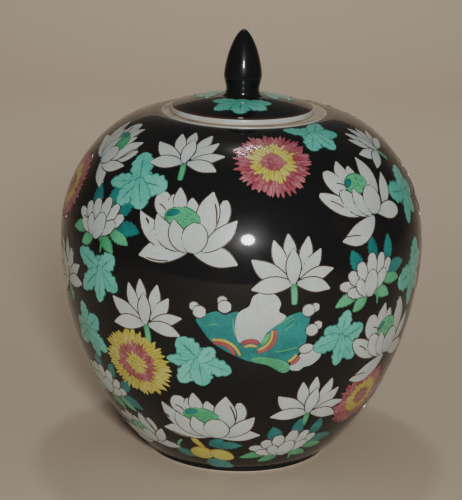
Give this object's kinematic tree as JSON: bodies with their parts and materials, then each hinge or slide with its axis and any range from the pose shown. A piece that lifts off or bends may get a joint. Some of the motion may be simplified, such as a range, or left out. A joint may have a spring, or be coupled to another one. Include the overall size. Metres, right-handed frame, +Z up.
{
  "type": "ginger jar",
  "caption": "Round-shouldered porcelain ginger jar with a lift-off inset lid and bud finial, black glaze with raised enamel flowers.",
  "frame": {"origin": "centre of the foot ring's standing edge, on the surface that the jar stands on", "axes": "+Z up along the jar's axis; the front of the decoration faces -Y"},
  "size_m": [0.25, 0.25, 0.2946],
  "materials": {
    "black_glaze": "high gloss black glaze over porcelain",
    "white_glaze": "glossy clear glaze over white porcelain",
    "bisque": "bare fired clay, matt",
    "enamel_white": "glossy raised enamel, white",
    "enamel_mint": "glossy raised enamel, mint green",
    "enamel_teal": "glossy raised enamel, deep teal",
    "enamel_green": "glossy raised enamel, leaf green",
    "enamel_rose": "glossy raised enamel, rose",
    "enamel_yellow": "glossy raised enamel, yellow",
    "outline_sepia": "thin painted outlines, dark brown"
  },
  "bodies": {
    "jar": {"foot_ring": "bisque", "jar_lower_section": "black_glaze", "jar_upper_section": "black_glaze", "mouth_ring": "white_glaze"},
    "lid": {"lid_dome": "black_glaze", "lid_flange": "bisque", "lid_finial": "black_glaze"}
  },
  "joints": [
    {"name": "lid_lift", "type": "slide", "parent": "jar", "child": "lid", "axis": [0, 0, 1], "range_m": [0, 0.15]}
  ]
}
